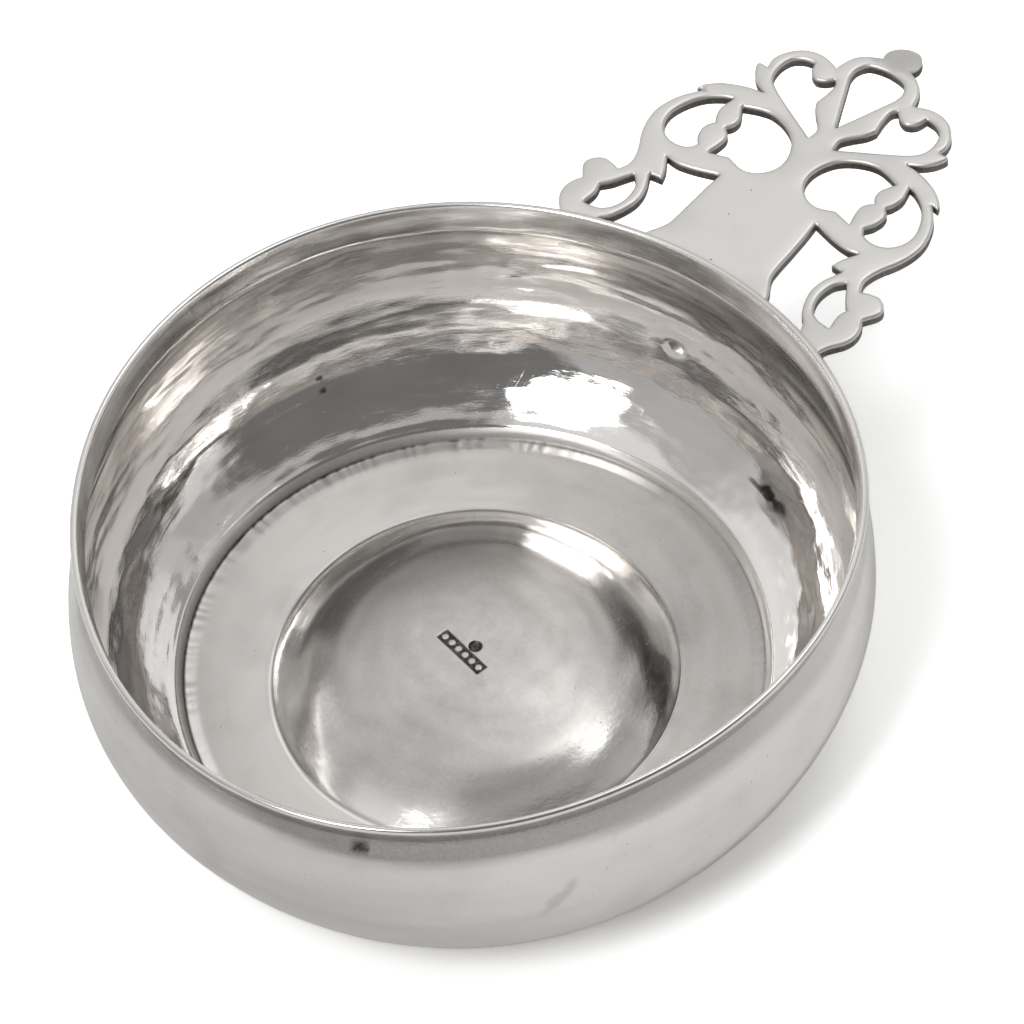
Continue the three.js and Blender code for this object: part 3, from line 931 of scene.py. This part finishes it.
def silver_material(name, colour, toned, tarnish_and_shade, polish, satin, pit_size, streaked=False):
    """Solid silver, worn by use and rubbed with rouge: white metal, soft sheen, fine scratches.

    polish and satin are the roughness where the piece is bright and where it has gone matt. Scoured
    with pumice it turns frosty and scatters light like white paint. Streaked adds the fine marks that
    hammer and rouge left round the wall."""
    material = new_material(name)
    tree = material.node_tree
    place = node(tree, "TexCoord").outputs["Object"]
    matt, grime_and_shade, tone = [node(tree, "Attribute", {"attribute_name": made}).outputs["Fac"]
                         for made in ("matt", "grime_and_shade", "tone")]
    cloud = node(tree, "TexNoise", Vector=place, Scale=1 / (14 * MM), Detail=3.0, Roughness=0.5)
    speck = node(tree, "TexNoise", Vector=place, Scale=1 / (0.7 * MM), Detail=3.0, Roughness=0.6)
    lines = node(tree, "Math", {"operation": "MAXIMUM"},
                 i0=hairlines(tree, place, 0.9, 1.5 * MM, 0.006, 3.0),
                 i1=hairlines(tree, place, -0.5, 1.2 * MM, 0.006, 8.0))
    cells = node(tree, "TexVoronoi", Vector=place, Scale=1 / pit_size)
    is_pit = node(tree, "MapRange", {"interpolation_type": "SMOOTHSTEP"}, Value=cells.outputs["Distance"],
                  From_Min=0.08, From_Max=0.03)
    lot = node(tree, "SeparateColor", Color=cells.outputs["Color"])
    chosen = node(tree, "Math", {"operation": "GREATER_THAN"}, i0=lot, i1=0.75)
    pits = node(tree, "Math", {"operation": "MULTIPLY"}, i0=is_pit, i1=chosen)
    film = node(tree, "MapRange", Value=cloud, From_Min=0.5, From_Max=0.8, To_Min=0.0, To_Max=0.14)
    patchy = node(tree, "MapRange", Value=speck, From_Min=0.3, From_Max=0.6, To_Min=0.88, To_Max=1.0)
    # Tarnish, stains and painted shade from the attribute, with a random film and dark pits over them
    dirt_and_shade = node(tree, "Math", {"operation": "MULTIPLY_ADD", "use_clamp": True}, i0=grime_and_shade, i1=patchy, i2=film)
    dirt_and_shade = node(tree, "Math", {"operation": "MAXIMUM"}, i0=dirt_and_shade, i1=pits)
    clean = node(tree, "Mix", {"data_type": "RGBA"}, i0=tone, i6=linear(colour), i7=linear(toned))
    tint = node(tree, "Mix", {"data_type": "RGBA"}, i0=dirt_and_shade, i6=clean.outputs[2], i7=linear(tarnish_and_shade))
    rough = node(tree, "MapRange", Value=matt, To_Min=polish, To_Max=satin)
    rough = node(tree, "Math", {"operation": "MULTIPLY_ADD"}, i0=dirt_and_shade, i1=0.15, i2=rough)
    rough = node(tree, "Math", {"operation": "MULTIPLY_ADD"}, i0=lines, i1=0.15, i2=rough)
    normal = node(tree, "Bump", {"invert": True}, Strength=0.08, Distance=0.02 * MM, Height=lines)
    normal = node(tree, "Bump", {"invert": True}, Strength=0.7, Distance=0.05 * MM, Height=pits,
                  Normal=normal)
    normal = node(tree, "Bump", Strength=0.5, Distance=0.012 * MM, Height=speck, Normal=normal)
    if streaked:
        worked = node(tree, "Attribute", {"attribute_name": "worked"}).outputs["Vector"]
        amount = node(tree, "Attribute", {"attribute_name": "streaked"}).outputs["Fac"]
        streak = node(tree, "TexNoise", Vector=worked, Scale=1 / (0.9 * MM), Detail=4.0, Roughness=0.65)
        height = node(tree, "Math", {"operation": "MULTIPLY"}, i0=streak, i1=amount)
        normal = node(tree, "Bump", Strength=1.0, Distance=0.03 * MM, Height=height, Normal=normal)
        haze = node(tree, "MapRange", Value=streak, From_Min=0.5, From_Max=0.75, To_Min=0.0, To_Max=0.14)
        rough = node(tree, "Math", {"operation": "MULTIPLY_ADD"}, i0=haze, i1=amount, i2=rough)
    frosted = node(tree, "MapRange", Value=matt, From_Min=0.6, From_Max=1.0, To_Min=1.0, To_Max=0.35)
    shader = node(tree, "BsdfPrincipled", Base_Color=tint.outputs[2], Metallic=frosted, Roughness=rough,
                  Normal=normal)
    node(tree, "OutputMaterial", Surface=shader)
    return material


def floor_material(colour, seen_white, seen_pale):
    """White card. The camera sees it lighter than it lights the bowl, and so do reflections by a lesser
    amount, so that it reads as white paper while the bowl's shadow stays."""
    material = new_material("white_card")
    tree = material.node_tree
    path = node(tree, "LightPath")
    mirrored_ray = node(tree, "Math", {"operation": "ADD", "use_clamp": True},
                        i0=path.outputs["Is Glossy Ray"], i1=path.outputs["Is Transmission Ray"])
    card = linear(colour)
    pale, white = [[channel * factor for channel in card[:3]] + [1] for factor in (seen_pale, seen_white)]
    reflected = node(tree, "Mix", {"data_type": "RGBA"}, i0=mirrored_ray, i6=card, i7=pale)
    seen = node(tree, "Mix", {"data_type": "RGBA"}, i0=path.outputs["Is Camera Ray"],
                i6=reflected.outputs[2], i7=white)
    shader = node(tree, "BsdfDiffuse", Color=seen.outputs[2])
    node(tree, "OutputMaterial", Surface=shader)
    return material


# Studio
def direction(azimuth, elevation):
    a, e = math.radians(azimuth), math.radians(elevation)
    return Vector((math.cos(a) * math.cos(e), math.sin(a) * math.cos(e), math.sin(e)))


def add_camera():
    """The photograph's view: 52 degrees above the table, from the front right, with a long lens."""
    heading, elevation, roll = 130.850, 51.801, math.radians(-5.19)
    distance, aim = 2.02743, Vector((-0.006138, BOWL_CENTRE[1] + 0.01963, 0.020))
    forward = direction(heading, -elevation)
    flat_right = forward.cross(Vector((0, 0, 1))).normalized()
    flat_up = flat_right.cross(forward)
    right = math.cos(roll) * flat_right + math.sin(roll) * flat_up
    up = right.cross(forward)
    data = bpy.data.cameras.new("camera")
    data.lens, data.sensor_width = 421.875, 36
    camera = bpy.data.objects.new("camera", data)
    camera.matrix_world = Matrix.Translation(aim - forward * distance) \
        @ Matrix((right, up, -forward)).transposed().to_4x4()
    bpy.context.scene.collection.objects.link(camera)
    bpy.context.scene.camera = camera


def sky_field(tree, view, below, azimuth, elevation, half_width, half_height, level, soft, form):
    """Lays one lit or dark field over the level below it."""
    centre = direction(azimuth, elevation)
    across = Vector((0, 0, 1)).cross(centre).normalized()
    parts = []
    for axis, half in ((across, half_width), (centre.cross(across), half_height)):
        reach = node(tree, "VectorMath", {"operation": "DOT_PRODUCT"}, i0=view,
                     i1=axis / math.sin(math.radians(half)))
        reach = node(tree, "Math", {"operation": "ABSOLUTE"}, i0=reach.outputs["Value"])
        parts.append(node(tree, "Math", {"operation": "POWER"}, i0=reach, i1=form))
    total = node(tree, "Math", {"operation": "ADD"}, i0=parts[0], i1=parts[1])
    inside = node(tree, "MapRange", {"interpolation_type": "SMOOTHSTEP"}, Value=total,
                  From_Min=1 + soft, From_Max=1 - soft)
    ahead = node(tree, "VectorMath", {"operation": "DOT_PRODUCT"}, i0=view, i1=centre)
    front = node(tree, "Math", {"operation": "GREATER_THAN"}, i0=ahead.outputs["Value"], i1=0.0)
    share = node(tree, "Math", {"operation": "MULTIPLY"}, i0=inside, i1=front)
    return node(tree, "Mix", {"data_type": "FLOAT"}, i0=share, i2=below, i3=level)


def add_world():
    """A grey room with a window in front, a skylight behind and a dark side where the camera stands.
    From a little above the horizon down it is white paper for every ray."""
    world = bpy.data.worlds.new("studio")
    world.use_nodes = True
    tree = world.node_tree
    tree.nodes.clear()
    view = node(tree, "TexCoord").outputs["Generated"]
    level = SKY_LEVEL
    for field in SKY_FIELDS:
        level = sky_field(tree, view, level, *field)
    height = node(tree, "SeparateXYZ", Vector=view)
    low = node(tree, "MapRange", {"interpolation_type": "SMOOTHSTEP"}, Value=height.outputs["Z"],
               From_Min=math.sin(math.radians(12)), From_Max=math.sin(math.radians(4)))
    level = node(tree, "Mix", {"data_type": "FLOAT"}, i0=low, i2=level, i3=1.0)
    sky = node(tree, "Background", Color=(1, 1, 1, 1), Strength=level)
    node(tree, "OutputWorld", Surface=sky)
    bpy.context.scene.world = world


# Operators
class PORRINGER_OT_stage(Operator):
    """Sets up the floor, the room's light and the camera."""

    bl_idname = "porringer.stage"
    bl_label = "Studio"

    def execute(self, context):
        finish = context.scene.porringer_finish
        half = 4.0
        floor = new_mesh("floor", [(-half, -half, 0), (half, -half, 0), (half, half, 0), (-half, half, 0)],
                         [(0, 1, 2, 3)], smooth=False)
        floor.data.materials.append(floor_material(finish.floor, seen_white=2.1, seen_pale=1.15))
        add_world()
        add_camera()
        context.scene.view_settings.view_transform = "Standard"
        return {"FINISHED"}


class PORRINGER_OT_bowl(Operator):
    """Raises the bowl, with its hammer marks, lip, dome and struck marks."""

    bl_idname = "porringer.bowl"
    bl_label = "Raised bowl"

    def execute(self, context):
        finish = context.scene.porringer_finish
        piece = bowl_piece(context.scene.porringer_bowl)
        piece.data.materials.append(
            silver_material("raised_sterling_silver", finish.silver, finish.toned, finish.tarnish_and_shade,
                            polish=0.05, satin=0.8, pit_size=1.7 * MM, streaked=True))
        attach(piece, "root")
        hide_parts("bowl")
        return {"FINISHED"}


class PORRINGER_OT_handle(Operator):
    """Casts the handle, with its pierced holes and worn edges."""

    bl_idname = "porringer.handle"
    bl_label = "Cast handle"

    def execute(self, context):
        finish = context.scene.porringer_finish
        piece = handle_piece(context.scene.porringer_handle, context.scene.porringer_bowl)
        piece.data.materials.append(
            silver_material("cast_sterling_silver", finish.toned, finish.toned, finish.tarnish_and_shade,
                            polish=0.2, satin=0.6, pit_size=3.1 * MM))
        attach(piece, "root")
        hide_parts("handle")
        return {"FINISHED"}


class PORRINGER_OT_solder(Operator):
    """Runs the solder round the handle's three roots."""

    bl_idname = "porringer.solder"
    bl_label = "Solder"

    def execute(self, context):
        finish = context.scene.porringer_finish
        handle, bowl = context.scene.porringer_handle, context.scene.porringer_bowl
        material = silver_material("hard_silver_solder", finish.solder, finish.solder, finish.tarnish_and_shade,
                                   polish=0.3, satin=0.36, pit_size=2.2 * MM)
        _, _, roots = handle_loops(handle, bowl)
        for side, ends in zip(("right", "tongue", "left"), roots):
            piece = solder_piece(f"solder_fillet_{side}", ends, handle, bowl)
            piece.data.materials.append(material)
            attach(piece, "root")
            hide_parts(f"solder_seam_{side}")
        return {"FINISHED"}


class PORRINGER_PT_sidebar(Panel):
    """Lists the porringer's pieces and sizes."""

    bl_label = "Silver porringer"
    bl_idname = "PORRINGER_PT_sidebar"
    bl_space_type = "VIEW_3D"
    bl_region_type = "UI"
    bl_category = "Porringer"

    def draw(self, context):
        for operator in OPERATORS:
            self.layout.operator(operator.bl_idname)
        for group in (context.scene.porringer_bowl, context.scene.porringer_handle,
                      context.scene.porringer_finish):
            box = self.layout.box()
            for name in group.bl_rna.properties.keys():
                if name not in ("rna_type", "name"):
                    box.prop(group, name)


OPERATORS = (PORRINGER_OT_stage, PORRINGER_OT_bowl, PORRINGER_OT_handle, PORRINGER_OT_solder)
CLASSES = (BowlSizes, HandleSizes, Finish, *OPERATORS, PORRINGER_PT_sidebar)


def register():
    for item in CLASSES:
        bpy.utils.register_class(item)
    bpy.types.Scene.porringer_bowl = PointerProperty(type=BowlSizes)
    bpy.types.Scene.porringer_handle = PointerProperty(type=HandleSizes)
    bpy.types.Scene.porringer_finish = PointerProperty(type=Finish)


def unregister():
    for name in ("porringer_bowl", "porringer_handle", "porringer_finish"):
        delattr(bpy.types.Scene, name)
    for item in reversed(CLASSES):
        bpy.utils.unregister_class(item)


def main():
    register()
    bpy.ops.porringer.stage()
    bpy.ops.porringer.bowl()
    bpy.ops.porringer.handle()
    bpy.ops.porringer.solder()


if __name__ == "__main__":
    main()
